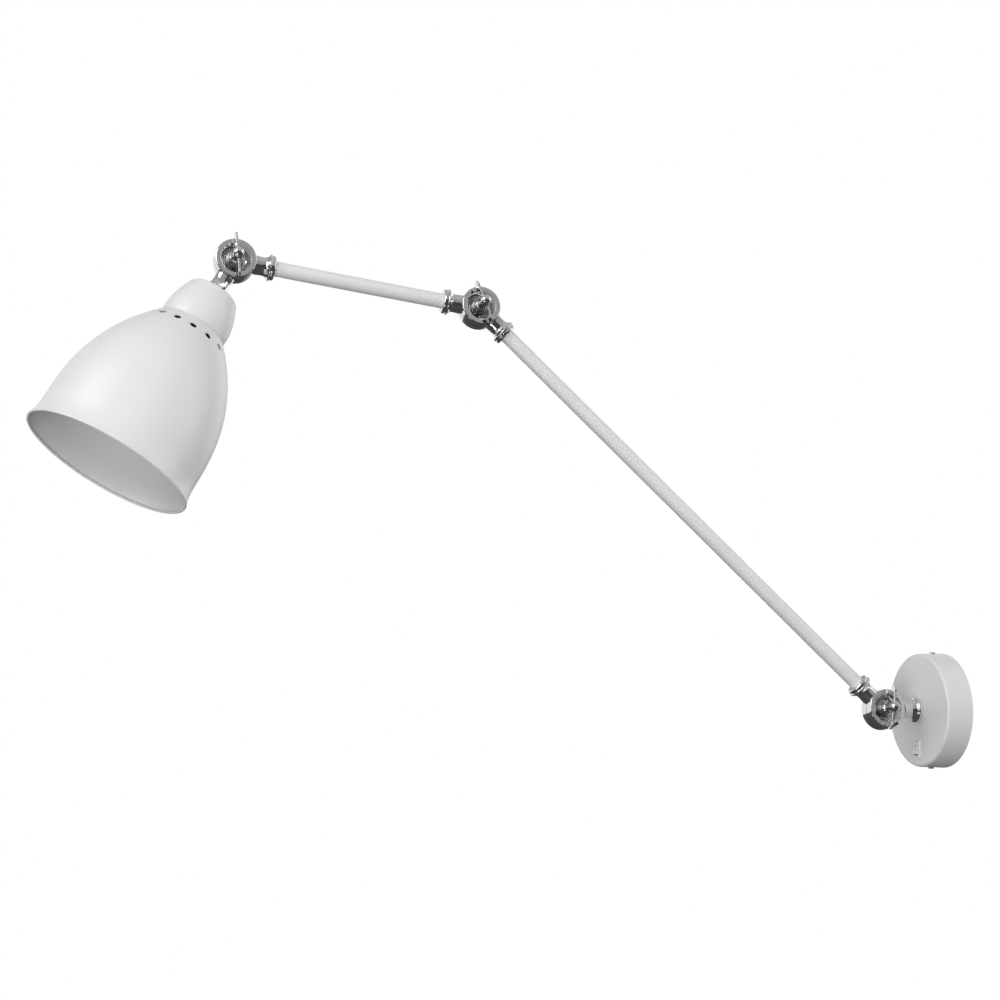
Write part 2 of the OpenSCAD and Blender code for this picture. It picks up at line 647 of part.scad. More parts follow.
function bell_body_r(z) = z < belly
    ? bell_neck_r + (bell_r - bell_neck_r)
        * (1 - pow((belly - z) / (belly - bell_start), bell_power))
    : bell_r;
function bell_outline_r(z) = bell_body_r(z)
    + (z > lip_start ? lip_flare * pow((z - lip_start) / (bell_end - lip_start), 2.2) : 0);
function bell_slope(z) = atan((bell_outline_r(z + 0.1) - bell_outline_r(z)) / 0.1);
bell_steps = 30;
function bell_z(i) = bell_start + (bell_end - bell_start) * pow(i / bell_steps, 1.2);
function bell_line(inset) = [for (i = [0:bell_steps]) let (z = bell_z(i))
    [bell_outline_r(z) - inset * cos(bell_slope(z)), z + inset * sin(bell_slope(z))]];
module shade_bell() color("white") head_place() difference() {
    union() {
        lathe(concat(
            [[skirt_r + 0.3, bell_start], [skirt_r + 0.3, bell_start + shade_wall],
             [bell_neck_r - 0.6, bell_start + shade_wall]],
            [for (p = bell_line(shade_wall)) if (p[1] > bell_start + shade_wall) p],
            reversed(bell_line(0))));
        lathe(arc([bell_outline_r(bell_end), bell_end], lip_bead_r, 0, 345, 23));
    }
    vent_z = bell_start + vent_drop;
    for (i = [0:vents - 1]) rotate([0, 0, 360 * (i - 0.13) / vents])
        translate([bell_outline_r(vent_z), 0, vent_z])
            rotate([0, 90 + bell_slope(vent_z), 0])
                translate([0, 0, -4]) cylinder(d = vent_d, h = 8, $fn = 32);
}

// ---- Lampholder and what hangs the shade on it ----
module head_nipple() color("tan") head_place()
    tube(nipple_r, nipple_bore_r, cap_start - nipple_grip, holder_start + 5);
module cap_nut() color("gold") head_place() {
    tube(nipple_r + 4, nipple_r + thread_gap, cap_start + shade_wall,
         cap_start + shade_wall + nut_washer_t);
    translate([0, 0, cap_start + shade_wall + nut_washer_t])
        hex_nut(nipple_d + nut_side, nipple_r + thread_gap, nut_t);
}
module holder_cap() color("dimgray") head_place() difference() {
    lathe(concat(
        [[nipple_r + thread_gap, holder_start], [11, holder_start]],
        arc([11, holder_start + 8], 8, -90, 0),
        [[19, holder_start + holder_cap_l], [17, holder_start + holder_cap_l]],
        arc([11, holder_start + 8], 6, 0, -90),
        [[nipple_r + thread_gap, holder_start + 2]]));
}
module holder_body() color("dimgray") head_place() {
    top = holder_start + holder_cap_l;
    lathe([[3, top], [skirt_r, top], [skirt_r, flange_at], [skirt_r + 3, flange_at],
           [skirt_r + 3, bell_start], [skirt_r, bell_start], [skirt_r, skirt_end],
           [shell_r + 0.7, skirt_end], [shell_r + 0.7, shell_start - 1], [3, shell_start - 1]]);
}
module socket_shell() color("gold") head_place()
    tube(shell_r + 0.6, shell_r, shell_start + contact_room, shell_start + shell_l);
module centre_contact() color("gold") head_place() {
    translate([0, 0, shell_start - 4]) cylinder(r = 2.6, h = 5);
    translate([-3, -2, shell_start + 1]) cube([10, 4, 0.5]);
}
module shade_ring() color("dimgray") head_place()
    tube(skirt_r + 4, skirt_r + thread_gap, bell_start + shade_wall + 0.02, bell_start + 6);
module head_lead() color("dimgray") head_place() end_lead(holder_start + holder_cap_l - 1);

wall_bracket();
canopy();
canopy_screws();
earth_screw();
terminal_block();
terminal_screws();
switch_housing();
switch_blades();
canopy_leads();
stop_peg();
switch_rocker();
base_knuckle();
base_nipple();
foot_washer();
stop_ring();
base_nut();
base_lead();
lower_pivot_bolt();
lower_friction_ring();
lower_spring();
lower_spring_washer();
lower_wing_nut();
long_arm_lower_knuckle();
long_tube();
long_arm_upper_knuckle();
long_arm_lead();
elbow_pivot_bolt();
elbow_friction_ring();
elbow_spring();
elbow_spring_washer();
elbow_wing_nut();
short_arm_inner_knuckle();
short_tube();
short_arm_outer_knuckle();
short_arm_lead();
head_knuckle();
head_pivot_bolt();
head_friction_ring();
head_spring();
head_spring_washer();
head_wing_nut();
shade_cap();
head_nipple();
cap_nut();
holder_cap();
holder_body();
socket_shell();
centre_contact();
shade_ring();
shade_bell();
head_lead();
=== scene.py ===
"""Looks of a swing arm wall sconce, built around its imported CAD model.

Sizes are in millimetres, which MM turns into metres, and angles are in degrees.
Only the camera, the lights and the floor are given in metres. Places come from
the frame: the hinges, the lampholder's mount and the nodes' own meshes.
"""

import json
import math

import bmesh
import bpy
from mathutils import Matrix, Vector


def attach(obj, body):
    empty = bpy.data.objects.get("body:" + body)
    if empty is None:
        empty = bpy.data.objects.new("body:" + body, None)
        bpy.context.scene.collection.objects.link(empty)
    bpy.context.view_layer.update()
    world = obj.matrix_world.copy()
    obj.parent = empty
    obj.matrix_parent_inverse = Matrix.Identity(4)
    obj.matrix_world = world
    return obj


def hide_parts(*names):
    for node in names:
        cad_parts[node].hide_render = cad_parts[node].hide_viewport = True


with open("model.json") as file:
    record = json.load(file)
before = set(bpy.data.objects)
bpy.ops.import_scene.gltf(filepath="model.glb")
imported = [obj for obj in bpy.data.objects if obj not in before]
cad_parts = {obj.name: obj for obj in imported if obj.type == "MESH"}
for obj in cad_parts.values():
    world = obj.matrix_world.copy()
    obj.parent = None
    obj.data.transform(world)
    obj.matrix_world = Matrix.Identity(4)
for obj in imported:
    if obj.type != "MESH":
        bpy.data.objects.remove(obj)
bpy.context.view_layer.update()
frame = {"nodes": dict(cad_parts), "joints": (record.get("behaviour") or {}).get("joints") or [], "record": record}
MM = 0.001
FULL_TURN = 2 * math.pi
SCENE = bpy.context.scene

# ---------------------------------------------------------------- places
HINGES = {joint["name"]: Vector(joint["pos_m"]) for joint in frame["joints"]}
MOUNTS = {mount["name"]: mount for mount in frame["record"]["mounts"]}
SLOT_OF = {row["node"]: row["material_slot"] for row in frame["record"]["subparts"]}
BODY_OF = {node: body for body, nodes in frame["record"]["behaviour"]["bodies"].items()
           for node in nodes}
HINGE_WAY = Vector((1, 0, 0))
UP = Vector((0, 0, 1))
OUT_OF_WALL = Vector((0, -1, 0))
HEAD_WAY = Vector(MOUNTS["lamp_socket"]["axis"]).normalized()


def placed(at, way, across=HINGE_WAY):
    """Local Z points along way and local X along across; local sizes are in mm."""
    z = Vector(way).normalized()
    x = (Vector(across) - z * z.dot(Vector(across))).normalized()
    turn = Matrix((x, z.cross(x), z)).transposed().to_4x4()
    return Matrix.Translation(at) @ turn @ Matrix.Scale(MM, 4)


ON_HEAD = placed(HINGES["head_hinge"], HEAD_WAY)

# ---------------------------------------------------------------- camera
CAMERA_AT = Vector((1.35218, -0.83772, -0.18902))
CAMERA_YAW = math.radians(72.20)
CAMERA_PITCH = math.radians(-14.277)
CAMERA_ROLL = math.radians(-1.727)
CAMERA_LENS = 62.89
SENSOR_WIDTH = 36


def make_camera():
    back = Vector((math.sin(CAMERA_YAW) * math.cos(CAMERA_PITCH),
                   -math.cos(CAMERA_YAW) * math.cos(CAMERA_PITCH), math.sin(CAMERA_PITCH)))
    level = Vector((math.cos(CAMERA_YAW), math.sin(CAMERA_YAW), 0))
    upright = back.cross(level)
    right = level * math.cos(CAMERA_ROLL) + upright * math.sin(CAMERA_ROLL)
    data = bpy.data.cameras.new("camera")
    data.lens, data.sensor_width = CAMERA_LENS, SENSOR_WIDTH
    data.clip_start, data.clip_end = 0.01, 60
    camera = bpy.data.objects.new("camera", data)
    turn = Matrix((right, back.cross(right), back)).transposed().to_4x4()
    camera.matrix_world = Matrix.Translation(CAMERA_AT) @ turn
    SCENE.collection.objects.link(camera)
    SCENE.camera = camera


# ---------------------------------------------------------------- node trees
class Tree:
    """Adds nodes to a shader or geometry tree and links them as they are made."""

    def __init__(self, tree):
        self.tree = tree

    def put(self, socket, value):
        """Links a socket to another node's output, or sets the socket's own value."""
        if isinstance(value, bpy.types.NodeSocket):
            self.tree.links.new(value, socket)
        elif value is not None:
            socket.default_value = value

    def add(self, kind, feeds=None, **settings):
        """A node of that kind; feeds gives its inputs by name or by number."""
        node = self.tree.nodes.new(kind)
        for name, value in settings.items():
            setattr(node, name, value)
        for key, value in (feeds or {}).items():
            self.put(node.inputs[key], value)
        return node

    def math(self, operation, a, b=None):
        node = self.add("ShaderNodeMath", operation=operation)
        for socket, value in zip(node.inputs, (a, b)):
            self.put(socket, value)
        return node.outputs[0]

    def vector_math(self, operation, a, b=None, scale=None):
        node = self.add("ShaderNodeVectorMath", operation=operation)
        self.put(node.inputs[0], a)
        self.put(node.inputs[1], b)
        if scale is not None:
            self.put(node.inputs["Scale"], scale)
        return node.outputs["Value" if operation in ("LENGTH", "DOT_PRODUCT") else "Vector"]

    def join(self, x, y, z):
        return self.add("ShaderNodeCombineXYZ", {0: x, 1: y, 2: z}).outputs[0]

    def split(self, vector):
        return self.add("ShaderNodeSeparateXYZ", {0: vector}).outputs

    def around(self, radius, turn, height):
        """The point at that radius and height, turned round local Z."""
        return self.join(self.math("MULTIPLY", radius, self.math("COSINE", turn)),
                         self.math("MULTIPLY", radius, self.math("SINE", turn)), height)

    def ramp(self, value, span, to=(0.0, 1.0), **settings):
        """Goes from to[0] to to[1] while the value crosses its span."""
        feeds = {"Value": value, "From Min": span[0], "From Max": span[1],
                 "To Min": to[0], "To Max": to[1]}
        return self.add("ShaderNodeMapRange", feeds, **settings).outputs[0]

    def noise(self, scale, at=None, **feeds):
        """Noise over the piece's own space, or over another vector."""
        if at is None:
            at = self.add("ShaderNodeTexCoord").outputs["Object"]
        feeds = {"Vector": at, "Scale": scale, **feeds}
        return self.add("ShaderNodeTexNoise", feeds).outputs["Fac"]

    def mix(self, share, first, second):
        """A colour between two others; the numbers are the node's colour sockets."""
        feeds = {0: share, 6: first, 7: second}
        return self.add("ShaderNodeMix", feeds, data_type="RGBA").outputs[2]


SOCKETS = {"length": "NodeSocketFloat", "count": "NodeSocketInt", "surface": "NodeSocketMaterial",
           "mesh": "NodeSocketGeometry", "colour": "NodeSocketColor", "vector": "NodeSocketVector"}


def new_group(kind, name, takes, gives):
    """An empty node group; takes and gives are rows of (socket name, sort, default)."""
    group = bpy.data.node_groups.new(name, kind)
    for direction, sockets in (("INPUT", takes), ("OUTPUT", gives)):
        for socket_name, sort, default in sockets:
            socket = group.interface.new_socket(socket_name, in_out=direction,
                                                socket_type=SOCKETS[sort])
            if default is not None:
                socket.default_value = default
    tree = Tree(group)
    return tree, tree.add("NodeGroupInput").outputs, tree.add("NodeGroupOutput").inputs


# ---------------------------------------------------------------- finishes
PER_METRE = 1 / MM
SMEARS_PER_PATCH = 9.0
IOR = 1.5


def make_grain():
    """Fine bumps over a surface, such as powder coat or moulding texture."""
    tree, given, out = new_group(
        "ShaderNodeTree", "fine grain",
        [("Per Millimetre", "length", 1.0), ("Detail", "length", 2.0)],
        [("Height", "length", None)])
    scale = tree.math("MULTIPLY", given["Per Millimetre"], PER_METRE)
    tree.put(out["Height"], tree.noise(scale, Detail=given["Detail"], Roughness=0.55))
    return tree.tree


def make_handling():
    """Large soft patches where a finish is a little duller, and a few finer smears."""
    tree, given, out = new_group(
        "ShaderNodeTree", "handling marks",
        [("Patch Size", "length", 30.0), ("Clean", "length", 0.2), ("Smeared", "length", 0.3)],
        [("Roughness", "length", None)])
    per_patch = tree.math("DIVIDE", PER_METRE, given["Patch Size"])
    patches = tree.noise(per_patch, Detail=3.0, Distortion=0.6)
    smears = tree.noise(tree.math("MULTIPLY", per_patch, SMEARS_PER_PATCH), Detail=4.0)
    tree.put(out["Roughness"], tree.ramp(tree.math("MULTIPLY", patches, smears), (0.18, 0.38),
                                         (given["Clean"], given["Smeared"])))
    return tree.tree


def make_drift():
    """A base colour that drifts slightly towards another over the surface."""
    tree, given, out = new_group(
        "ShaderNodeTree", "colour drift",
        [("Colour", "colour", (0.8, 0.8, 0.8, 1)), ("Towards", "colour", (0.7, 0.7, 0.7, 1)),
         ("Patch Size", "length", 60.0)],
        [("Colour", "colour", None)])
    per_patch = tree.math("DIVIDE", PER_METRE, given["Patch Size"])
    share = tree.ramp(tree.noise(per_patch, Detail=5.0), (0.4, 0.7))
    tree.put(out["Colour"], tree.mix(share, given["Colour"], given["Towards"]))
    return tree.tree


def make_drawn_lines():
    """Fine lines left along one direction by drawing or turning the metal."""
    tree, given, out = new_group(
        "ShaderNodeTree", "drawn lines",
        [("Stretch", "vector", (1, 1, 1)), ("Per Millimetre", "length", 3.0)],
        [("Height", "length", None)])
    where = tree.add("ShaderNodeTexCoord").outputs["Object"]
    along = tree.vector_math("MULTIPLY", where, given["Stretch"])
    scale = tree.math("MULTIPLY", given["Per Millimetre"], PER_METRE)
    tree.put(out["Height"], tree.noise(scale, along, Detail=2.0))
    return tree.tree


GRAIN, HANDLING, DRIFT, DRAWN = make_grain(), make_handling(), make_drift(), make_drawn_lines()


class Finish:
    """One material: a Principled BSDF whose changing inputs come from the groups."""

    def __init__(self, name, colour, towards, patch, metallic=0.0):
        self.material = bpy.data.materials.new(name)
        self.material.use_nodes = True
        self.tree = Tree(self.material.node_tree)
        self.tree.tree.nodes.clear()
        self.shader = self.tree.add("ShaderNodeBsdfPrincipled",
                                    {"Metallic": metallic, "IOR": IOR})
        self.tree.add("ShaderNodeOutputMaterial", {"Surface": self.shader.outputs["BSDF"]})
        drift = self.use(DRIFT, {"Colour": (*colour, 1), "Towards": (*towards, 1),
                                 "Patch Size": patch})
        self.colour = drift.outputs["Colour"]
        self.feed("Base Color", self.colour)
        self.normal = None

    def use(self, group, feeds):
        return self.tree.add("ShaderNodeGroup", feeds, node_tree=group)

    def feed(self, name, value):
        self.tree.put(self.shader.inputs[name], value)

    def sheen(self, clean, smeared, patch):
        """Roughness between two values, in patches of that size."""
        marks = self.use(HANDLING, {"Patch Size": patch, "Clean": clean, "Smeared": smeared})
        self.feed("Roughness", marks.outputs["Roughness"])
        return self

    def bumps(self, height, distance, strength):
        """Adds bumps of that depth in mm to the bumps that are there already."""
        bump = self.tree.add("ShaderNodeBump", {"Height": height, "Strength": strength,
                                                "Distance": distance * MM, "Normal": self.normal})
        self.normal = bump.outputs["Normal"]
        self.feed("Normal", self.normal)
        return self

    def grain(self, per_mm, distance, strength):
        marks = self.use(GRAIN, {"Per Millimetre": per_mm})
        return self.bumps(marks.outputs["Height"], distance, strength)

    def drawn(self, stretch, per_mm, distance, strength):
        lines = self.use(DRAWN, {"Stretch": stretch, "Per Millimetre": per_mm})
        return self.bumps(lines.outputs["Height"], distance, strength)


FINISHES = {
    "white_shade":
        Finish("white paint on the shade", (0.80, 0.80, 0.795), (0.77, 0.77, 0.765), 90)
        .sheen(0.34, 0.42, 45).grain(0.9, 0.008, 0.3),
    "white_canopy":
        Finish("white paint on the canopy", (0.78, 0.78, 0.77), (0.75, 0.75, 0.74), 70)
        .sheen(0.36, 0.45, 40).grain(0.9, 0.008, 0.3),
    "white_tube":
        Finish("white paint on the tubes", (0.80, 0.80, 0.79), (0.77, 0.77, 0.76), 60)
        .sheen(0.33, 0.42, 35).grain(0.9, 0.006, 0.3),
    "chrome_plate":
        Finish("chrome plate", (0.80, 0.805, 0.81), (0.77, 0.775, 0.78), 20, metallic=1.0)
        .sheen(0.04, 0.08, 12).grain(0.3, 0.006, 0.3),
    "spring_steel":
        Finish("bright spring steel", (0.62, 0.62, 0.63), (0.52, 0.52, 0.53), 6, metallic=1.0)
        .sheen(0.20, 0.32, 8).drawn((0.2, 1, 1), 4.0, 0.01, 0.3),
    "zinc_steel":
        Finish("zinc plated steel", (0.60, 0.61, 0.63), (0.52, 0.53, 0.56), 8, metallic=1.0)
        .sheen(0.28, 0.42, 10).grain(2.5, 0.02, 0.3),
    "brass_contacts":
        Finish("brass", (0.78, 0.56, 0.24), (0.66, 0.45, 0.19), 7, metallic=1.0)
        .sheen(0.22, 0.38, 9).drawn((1, 1, 0.15), 3.0, 0.015, 0.3),
    "friction_fibre":
        Finish("black fibre", (0.022, 0.022, 0.022), (0.05, 0.048, 0.045), 3)
        .sheen(0.75, 0.9, 5).grain(3.0, 0.08, 0.6),
    "switch_plastic":
        Finish("white moulded plastic", (0.76, 0.76, 0.745), (0.73, 0.73, 0.71), 15)
        .sheen(0.28, 0.38, 12).grain(1.6, 0.03, 0.2),
    "terminal_plastic":
        Finish("cream moulded plastic", (0.74, 0.72, 0.66), (0.69, 0.67, 0.60), 12)
        .sheen(0.42, 0.55, 10).grain(1.8, 0.05, 0.3),
    "holder_phenolic":
        Finish("black moulded holder", (0.022, 0.022, 0.024), (0.035, 0.034, 0.033), 20)
        .sheen(0.32, 0.45, 15).grain(1.4, 0.02, 0.3),
    "lead_sheath":
        Finish("grey lead sheath", (0.60, 0.60, 0.585), (0.54, 0.54, 0.52), 10)
        .sheen(0.5, 0.62, 8).grain(2.0, 0.05, 0.4),
}
MARK_INK = (Finish("grey marking ink", (0.07, 0.07, 0.07), (0.11, 0.11, 0.11), 2)
            .sheen(0.5, 0.6, 4))


# ---------------------------------------------------------------- meshes
def arc(centre, radius, start, end, steps):
    """Points round a centre, from one angle to another."""
    turns = [math.radians(start + (end - start) * i / steps) for i in range(steps + 1)]
    return [(centre[0] + radius * math.cos(t), centre[1] + radius * math.sin(t)) for t in turns]


def straight(radius, low, high, per_mm):
    """Points up a straight wall, close enough for a thread to be rolled into it."""
    count = round((high - low) * per_mm)
    return [(radius, low + (high - low) * i / count) for i in range(count + 1)]


def shade(mesh, sharp):
    """Smooth shading, but for edges sharper than that angle."""
    mesh.shade_smooth()
    mesh.set_sharp_from_angle(angle=math.radians(sharp))


def mesh_of(bm, name):
    """The bmesh as a mesh; the bmesh itself is freed."""
    mesh = bpy.data.meshes.new(name)
    bm.to_mesh(mesh)
    bm.free()
    return mesh


def mesh_from(bm, name, place, sharp=32):
    """Closes a bmesh into a mesh, with its place and its shading settled."""
    bmesh.ops.remove_doubles(bm, verts=bm.verts, dist=1e-5)
    bmesh.ops.recalc_face_normals(bm, faces=bm.faces)
    mesh = mesh_of(bm, name)
    mesh.transform(place)
    shade(mesh, sharp)
    return mesh


def lathe_bm(outline, segments):
    """A closed outline of (radius, height) turned round local Z."""
    bm = bmesh.new()
    rings = []
    for radius, height in outline:
        if radius < 1e-6:
            rings.append([bm.verts.new((0, 0, height))] * segments)
        else:
            rings.append([bm.verts.new((radius * math.cos(t), radius * math.sin(t), height))
                          for t in (FULL_TURN * i / segments for i in range(segments))])
    for low, high in zip(rings, rings[1:] + rings[:1]):
        for i in range(segments):
            j = (i + 1) % segments
            corners = list(dict.fromkeys((low[i], low[j], high[j], high[i])))
            if len(corners) > 2:
                bm.faces.new(corners)
    return bm


def turned(name, outline, place, segments, sharp=32):
    return mesh_from(lathe_bm(outline, segments), name, place, sharp)


def evaluated(obj):
    """The mesh that an object's modifiers make; the object itself is removed."""
    graph = bpy.context.evaluated_depsgraph_get()
    mesh = bpy.data.meshes.new_from_object(obj.evaluated_get(graph))
    bpy.data.objects.remove(obj)
    return mesh


def work_object(mesh):
    obj = bpy.data.objects.new("work", mesh)
    SCENE.collection.objects.link(obj)
    return obj


def worked(mesh, *modifiers):
    """A mesh put through modifiers, each given as (kind, settings)."""
    obj = work_object(mesh)
    for kind, settings in modifiers:
        modifier = obj.modifiers.new(kind.lower(), kind)
        for name, value in settings.items():
            setattr(modifier, name, value)
    return evaluated(obj)


def grown(tree, inputs, blank=None):
    """A mesh made by a geometry tree from its named inputs, and from a blank if it takes one."""
    obj = work_object(blank or bpy.data.meshes.new("grown"))
    modifier = obj.modifiers.new("tree", "NODES")
    modifier.node_group = tree
    keys = {item.name: item.identifier for item in tree.interface.items_tree
            if item.item_type == "SOCKET" and item.in_out == "INPUT"}
    for name, value in inputs.items():
        modifier[keys[name]] = value
    return evaluated(obj)


# ---------------------------------------------------------------- pieces
def piece(name, mesh, node):
    """Shows a mesh in place of a CAD node, on that node's body and in its finish."""
    shown = bpy.data.objects.new(name, mesh)
    SCENE.collection.objects.link(shown)
    body, finish = BODY_OF[node], SLOT_OF[node]
    if not mesh.materials or mesh.materials[0] is None:
        mesh.materials.clear()
        mesh.materials.append(FINISHES[finish].material)
    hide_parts(node)
    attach(shown, body)


def grown_piece(name, node, tree, sizes, place, sharp, blank=None):
    """A piece that a geometry tree makes in local millimetres."""
    mesh = grown(tree, {**sizes, "Surface": FINISHES[SLOT_OF[node]].material}, blank)
    mesh.transform(place)
    shade(mesh, sharp)
    piece(name, mesh, node)


def threaded(name, node, outline, sides, place, **sizes):
    """A turned piece with a screw thread rolled into it."""
    blank = turned(name, outline, Matrix.Identity(4), sides)
    grown_piece(name, node, THREAD, sizes, place, 50, blank)


# ---------------------------------------------------------------- geometry trees
def finish_tree(tree, geometry, surface, out):
    """Realizes the instances, sets the material and puts the result out."""
    real = tree.add("GeometryNodeRealizeInstances", {0: geometry})
    coated = tree.add("GeometryNodeSetMaterial", {"Geometry": real.outputs[0], "Material": surface})
    tree.put(out, coated.outputs[0])


def make_coil_tree():
    """A wire wound round local Z into a cone, its pitch easing off at both ends."""
    tree, given, out = new_group(
        "GeometryNodeTree", "wound wire",
        [("Wide Radius", "length", 7.3), ("Narrow Radius", "length", 6.1),
         ("Wire Radius", "length", 0.6), ("Turns", "length", 2.0),
         ("From", "length", 0.0), ("To", "length", 4.0), ("Steps per Turn", "count", 64),
         ("Sides", "count", 20), ("Surface", "surface", None)],
        [("Wire", "mesh", None)])
    steps = tree.math("MULTIPLY", given["Turns"], given["Steps per Turn"])
    line = tree.add("GeometryNodeMeshLine", {"Count": tree.math("ADD", steps, 1.0)})
    share = tree.math("DIVIDE", tree.add("GeometryNodeInputIndex").outputs[0], steps)
    turn = tree.math("MULTIPLY", tree.math("MULTIPLY", share, given["Turns"]), FULL_TURN)
    # The pitch eases off towards both ends, so the coil sits flat on its seats.
    eased = tree.ramp(share, (0.0, 1.0), interpolation_type="SMOOTHSTEP")
    blend = tree.math("ADD", tree.math("MULTIPLY", eased, 0.6), tree.math("MULTIPLY", share, 0.4))
    low = tree.math("ADD", given["From"], given["Wire Radius"])
    span = tree.math("SUBTRACT", tree.math("SUBTRACT", given["To"], given["Wire Radius"]), low)
    taper = tree.math("SUBTRACT", given["Wide Radius"], given["Narrow Radius"])
    coil = tree.math("SUBTRACT", given["Wide Radius"], tree.math("MULTIPLY", taper, share))
    height = tree.math("ADD", low, tree.math("MULTIPLY", span, blend))
    wound = tree.add("GeometryNodeSetPosition", {"Geometry": line.outputs[0],
                                                 "Position": tree.around(coil, turn, height)})
    curve = tree.add("GeometryNodeMeshToCurve", {0: wound.outputs[0]})
    ring = tree.add("GeometryNodeCurvePrimitiveCircle", {"Resolution": given["Sides"],
                                                         "Radius": given["Wire Radius"]})
    wire = tree.add("GeometryNodeCurveToMesh", {"Curve": curve.outputs[0],
                                                "Profile Curve": ring.outputs[0],
                                                "Fill Caps": True})
    finish_tree(tree, wire.outputs[0], given["Surface"], out["Wire"])
    return tree.tree


def push_outwards(tree, geometry, x, y, move):
    """Moves points away from local Z."""
    way = tree.vector_math("NORMALIZE", tree.join(x, y, 0.0))
    offset = tree.vector_math("SCALE", way, scale=move)
    return tree.add("GeometryNodeSetPosition", {"Geometry": geometry, "Offset": offset}).outputs[0]


def make_thread_tree():
    """Rolls a screw thread into a turned piece, between two heights and outside a radius."""
    tree, given, out = new_group(
        "GeometryNodeTree", "rolled thread",
        [("Blank", "mesh", None), ("Pitch", "length", 1.0), ("Depth", "length", 0.3),
         ("From", "length", 0.0), ("To", "length", 10.0), ("Outside", "length", 0.0),
         ("Surface", "surface", None)],
        [("Threaded", "mesh", None)])
    x, y, z = tree.split(tree.add("GeometryNodeInputPosition").outputs[0])
    radius = tree.vector_math("LENGTH", tree.join(x, y, 0.0))
    turn = tree.math("DIVIDE", tree.math("ARCTAN2", y, x), FULL_TURN)
    phase = tree.math("SUBTRACT", tree.math("DIVIDE", z, given["Pitch"]), turn)
    wave = tree.math("COSINE", tree.math("MULTIPLY", phase, FULL_TURN))
    groove = tree.math("MULTIPLY", tree.math("SUBTRACT", wave, 1.0),
                       tree.math("MULTIPLY", given["Depth"], 0.5))
    # The thread runs out over one pitch at each end.
    run_in = tree.math("DIVIDE", tree.math("SUBTRACT", z, given["From"]), given["Pitch"])
    run_out = tree.math("DIVIDE", tree.math("SUBTRACT", given["To"], z), given["Pitch"])
    ends = tree.add("ShaderNodeClamp", {"Value": tree.math("MINIMUM", run_in, run_out)}).outputs[0]
    outside = tree.math("GREATER_THAN", radius, given["Outside"])
    move = tree.math("MULTIPLY", tree.math("MULTIPLY", groove, ends), outside)
    rolled = push_outwards(tree, given["Blank"], x, y, move)
    finish_tree(tree, rolled, given["Surface"], out["Threaded"])
    return tree.tree


def make_grip_tree():
    """Presses even flutes into the outside of a turned ring, so that it can be gripped."""
    tree, given, out = new_group(
        "GeometryNodeTree", "fluted grip",
        [("Blank", "mesh", None), ("Flutes", "count", 24), ("Depth", "length", 0.6),
         ("Outside", "length", 0.0), ("Surface", "surface", None)],
        [("Fluted", "mesh", None)])
    x, y, _ = tree.split(tree.add("GeometryNodeInputPosition").outputs[0])
    radius = tree.vector_math("LENGTH", tree.join(x, y, 0.0))
    wave = tree.math("COSINE", tree.math("MULTIPLY", tree.math("ARCTAN2", y, x), given["Flutes"]))
    # The ribs are round, and the bottoms of the flutes between them are flat.
    groove = tree.math("MULTIPLY", tree.math("SUBTRACT", tree.math("MAXIMUM", wave, -0.2), 1.0),
                       tree.math("MULTIPLY", given["Depth"], 0.8))
    move = tree.math("MULTIPLY", groove, tree.math("GREATER_THAN", radius, given["Outside"]))
    pressed = push_outwards(tree, given["Blank"], x, y, move)
    finish_tree(tree, pressed, given["Surface"], out["Fluted"])
    return tree.tree


BELL_RULE = ["Length", "Neck", "Widest", "Belly", "Fullness", "Lip Start", "Lip Flare"]
PLATE_SHARE = 8.0 / 95.0    # 8 of the 95 gaps between the bell's rows are in its top plate
ROW_CROWDING = 1.15         # above 1, rows stand closer together near the top
LIP_CURVE = 2.2
BELL_WELD = 0.001
PUNCH_SIDES, PUNCH_DEPTH = 40, 6.0
BEAD_SIDES = 28


def make_bell_radius():
    """The bell's rule: its radius at each height below its top."""
    tree, given, out = new_group(
        "GeometryNodeTree", "bell radius",
        [("Height", "length", 0.0), ("Length", "length", 132.2), ("Neck", "length", 28.0),
         ("Widest", "length", 67.3), ("Belly", "length", 108.0), ("Fullness", "length", 2.42),
         ("Lip Start", "length", 114.6), ("Lip Flare", "length", 2.7)],
        [("Radius", "length", None)])
    above = tree.math("MAXIMUM", tree.math("SUBTRACT", given["Belly"], given["Height"]), 0.0)
    short = tree.math("POWER", tree.math("DIVIDE", above, given["Belly"]), given["Fullness"])
    swell = tree.math("SUBTRACT", given["Widest"], given["Neck"])
    body = tree.math("SUBTRACT", given["Widest"], tree.math("MULTIPLY", swell, short))
    below = tree.math("MAXIMUM", tree.math("SUBTRACT", given["Height"], given["Lip Start"]), 0.0)
    lip = tree.math("DIVIDE", below, tree.math("SUBTRACT", given["Length"], given["Lip Start"]))
    flare = tree.math("MULTIPLY", given["Lip Flare"], tree.math("POWER", lip, LIP_CURVE))
    tree.put(out["Radius"], tree.math("ADD", body, flare))
    return tree.tree


def joined(tree, *parts):
    """Several geometries as one."""
    node = tree.add("GeometryNodeJoinGeometry")
    for part in parts:
        tree.tree.links.new(part, node.inputs[0])
    return node.outputs[0]


def welded(tree, geometry):
    feeds = {0: geometry, "Distance": BELL_WELD}
    return tree.add("GeometryNodeMergeByDistance", feeds).outputs[0]


def raised(tree, geometry, height):
    feeds = {"Geometry": geometry, "Translation": tree.join(0.0, 0.0, height)}
    return tree.add("GeometryNodeTransform", feeds).outputs[0]


